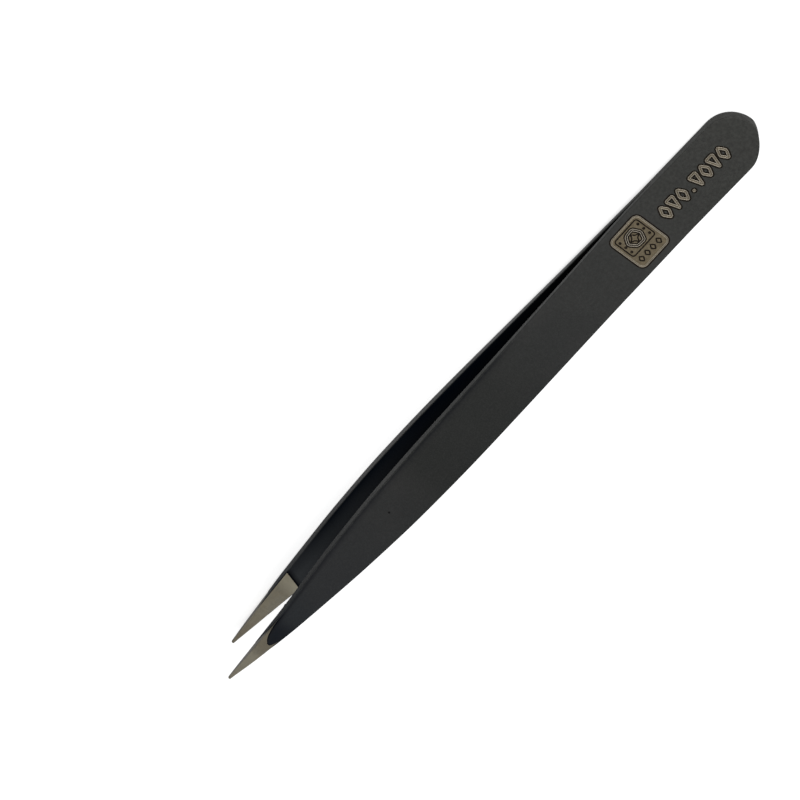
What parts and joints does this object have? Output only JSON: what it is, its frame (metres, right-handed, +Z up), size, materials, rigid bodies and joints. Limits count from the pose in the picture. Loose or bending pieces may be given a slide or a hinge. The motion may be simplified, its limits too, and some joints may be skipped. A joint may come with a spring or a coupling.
{
  "type": "precision tweezers",
  "caption": "Straight fine-point tweezers: two bowed spring-steel arms welded at a rounded head, matt black coating, bare steel points, sprung open.",
  "frame": {"origin": "on the surface the tweezers lie on, under the middle of their overall box", "axes": "+X from the head to the points, +Y across the width, +Z up; the arms open and close in the XZ plane, and the tweezers lie on the rear arm"},
  "size_m": [0.1202, 0.0092, 0.0129],
  "materials": {
    "bare_steel": "fine ground satin stainless steel, slightly warm",
    "black_coating": "matt black epoxy dip coat with a fine orange peel"
  },
  "bodies": {
    "head": {"front_head_plate": "bare_steel", "rear_head_plate": "bare_steel", "spot_weld_1": "bare_steel", "spot_weld_2": "bare_steel", "spot_weld_3": "bare_steel", "head_coating": "black_coating", "front_spring_leaf": "bare_steel", "rear_spring_leaf": "bare_steel", "front_leaf_coating": "black_coating", "rear_leaf_coating": "black_coating"},
    "front_arm": {"front_blade": "bare_steel", "front_blade_coating": "black_coating"},
    "rear_arm": {"rear_blade": "bare_steel", "rear_blade_coating": "black_coating"}
  },
  "joints": [
    {"name": "front_arm_flex", "type": "hinge", "parent": "head", "child": "front_arm", "pos_m": [-0.02782, 0, 0.00391], "axis": [0, 1, 0], "range_deg": [0, 2.95], "stiffness_Nm_per_rad": 1.8, "deforming": ["front_spring_leaf", "front_leaf_coating"]},
    {"name": "rear_arm_flex", "type": "hinge", "parent": "head", "child": "rear_arm", "pos_m": [-0.02769, 0, 0.00144], "axis": [0, -1, 0], "range_deg": [0, 2.95], "stiffness_Nm_per_rad": 1.8, "deforming": ["rear_spring_leaf", "rear_leaf_coating"]}
  ],
  "couplings": [
    {"joint": "rear_arm_flex", "follows": "front_arm_flex", "ratio": 1}
  ]
}
